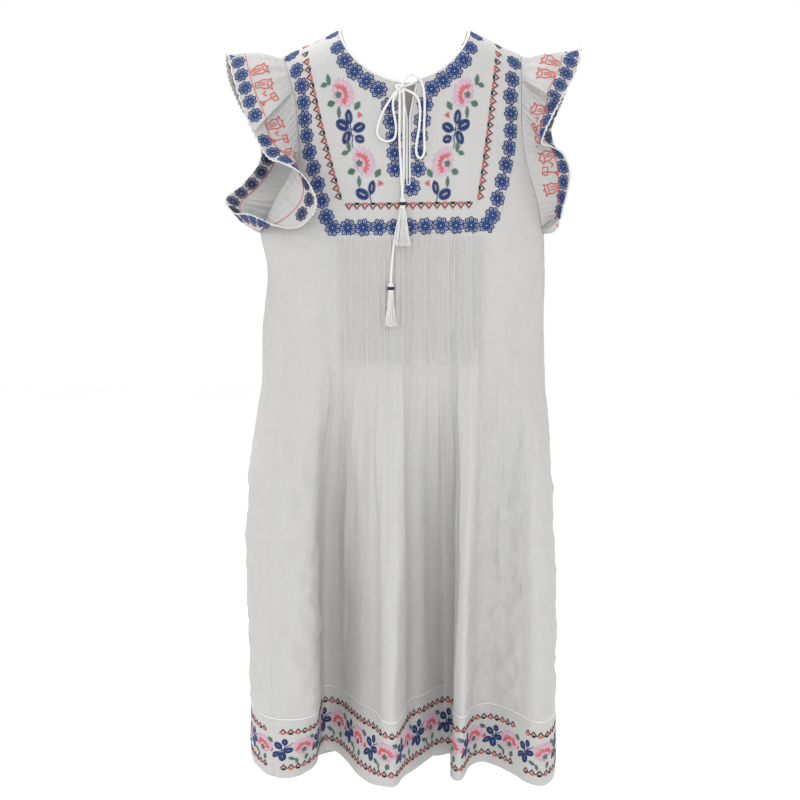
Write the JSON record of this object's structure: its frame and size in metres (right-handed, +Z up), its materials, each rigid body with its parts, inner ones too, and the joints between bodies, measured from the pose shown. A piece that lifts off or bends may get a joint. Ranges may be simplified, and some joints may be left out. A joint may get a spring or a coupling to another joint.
{
  "type": "peasant dress",
  "caption": "Hollow worn peasant dress in white cotton: embroidered yoke with tasselled neck tie, pintucks, flutter sleeves and a bordered hem.",
  "frame": {"origin": "between the two neck points, at their height, where the wearer's shoulders hold the dress", "axes": "+Z up along the dress, the front faces -Y, +X to the viewer's right"},
  "size_m": [0.5213, 0.2332, 1.1599],
  "materials": {
    "cotton": "matte cotton voile",
    "binding": "matte cotton bias strip",
    "cord": "matte cotton cord",
    "thread": "satin embroidery thread"
  },
  "bodies": {
    "root": {"front_yoke": "cotton", "front_panel": "cotton", "back_panel": "cotton", "side_gore_left": "cotton", "side_gore_right": "cotton", "sleeve_left": "cotton", "sleeve_right": "cotton", "neck_binding": "binding", "slit_binding": "binding", "hem_piping": "binding", "hem_border_front": "cotton", "hem_border_left": "cotton", "hem_border_right": "cotton", "hem_border_back": "cotton", "tie_knot": "cord", "tie_bridge": "cord", "tie_loop_left": "cord", "tie_loop_right": "cord", "tie_tail_short": "cord", "tie_tail_long": "cord", "tassel_short": "cord", "tassel_long": "cord", "tassel_band_short": "thread", "tassel_band_long": "thread"}
  },
  "joints": []
}
